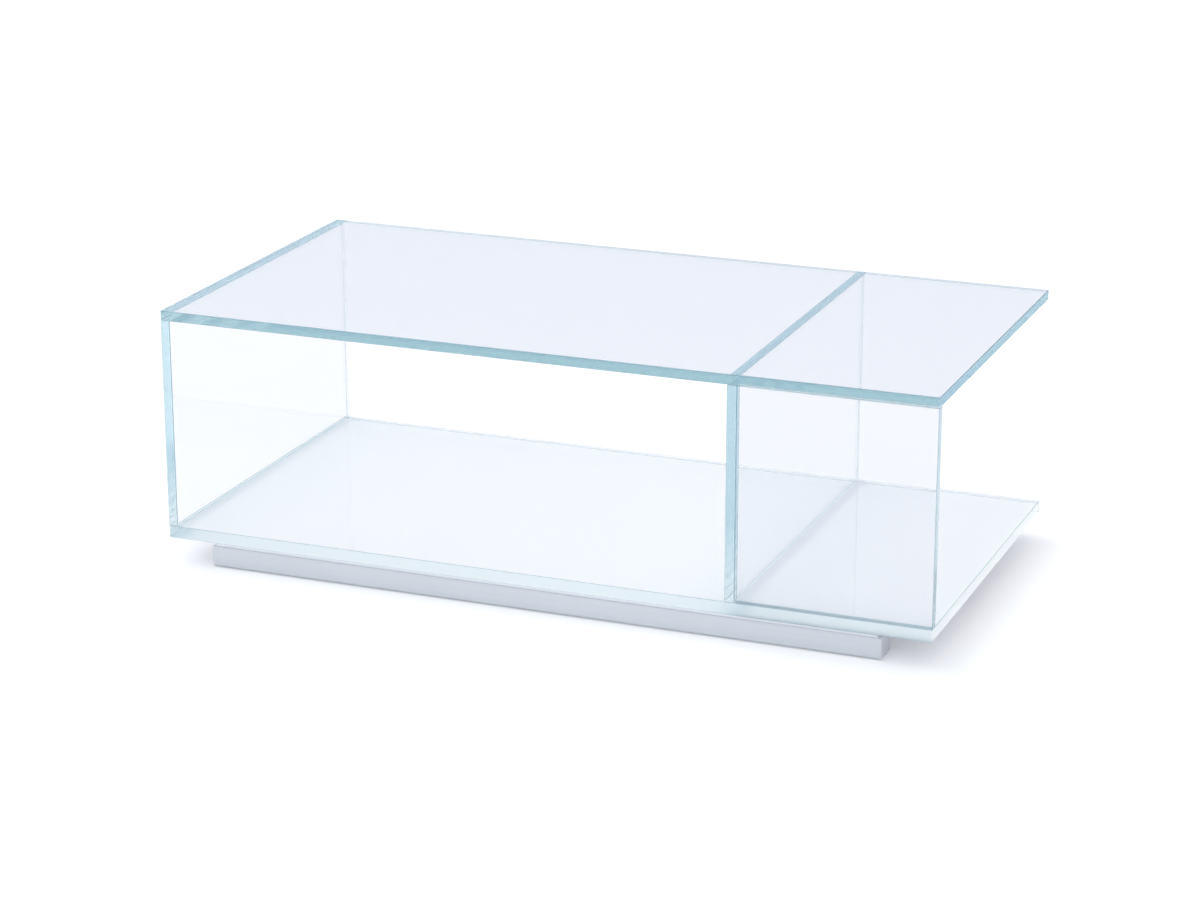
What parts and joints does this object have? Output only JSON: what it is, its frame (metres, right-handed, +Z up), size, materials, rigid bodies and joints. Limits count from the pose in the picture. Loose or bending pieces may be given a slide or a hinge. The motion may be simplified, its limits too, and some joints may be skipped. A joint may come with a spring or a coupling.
{
  "type": "coffee table",
  "caption": "Low rectangular coffee table of thick clear glass plates bonded edge to face, with open display bays under the top and low metal tube runners.",
  "frame": {"origin": "on the floor under the middle of the table", "axes": "+X along the length towards the open right end, +Y towards the back, +Z up"},
  "size_m": [1.2, 0.6, 0.395],
  "materials": {
    "extra_clear_glass": "polished low-iron float glass with ground and polished edges",
    "uv_bond": "clear UV-cured acrylic film",
    "white_back_coat": "white lacquer on the back of the glass",
    "runner_steel": "satin brushed along the length",
    "cap_plastic": "fine moulded texture",
    "mounting_tape": "pale acrylic foam tape",
    "glide_felt": "pressed grey felt"
  },
  "bodies": {
    "root": {"bottom_back_coat": "white_back_coat", "bottom_panel": "extra_clear_glass", "divider_bottom_bond": "uv_bond", "divider_panel": "extra_clear_glass", "divider_top_bond": "uv_bond", "front_left_glide": "glide_felt", "front_middle_glide": "glide_felt", "front_pane": "extra_clear_glass", "front_pane_bottom_bond": "uv_bond", "front_pane_left_bond": "uv_bond", "front_pane_top_bond": "uv_bond", "front_right_glide": "glide_felt", "front_runner": "runner_steel", "front_runner_left_cap": "cap_plastic", "front_runner_right_cap": "cap_plastic", "front_runner_tape": "mounting_tape", "left_end_bottom_bond": "uv_bond", "left_end_panel": "extra_clear_glass", "left_end_top_bond": "uv_bond", "rear_left_glide": "glide_felt", "rear_middle_glide": "glide_felt", "rear_right_glide": "glide_felt", "rear_runner": "runner_steel", "rear_runner_left_cap": "cap_plastic", "rear_runner_right_cap": "cap_plastic", "rear_runner_tape": "mounting_tape", "top_panel": "extra_clear_glass"}
  },
  "joints": []
}
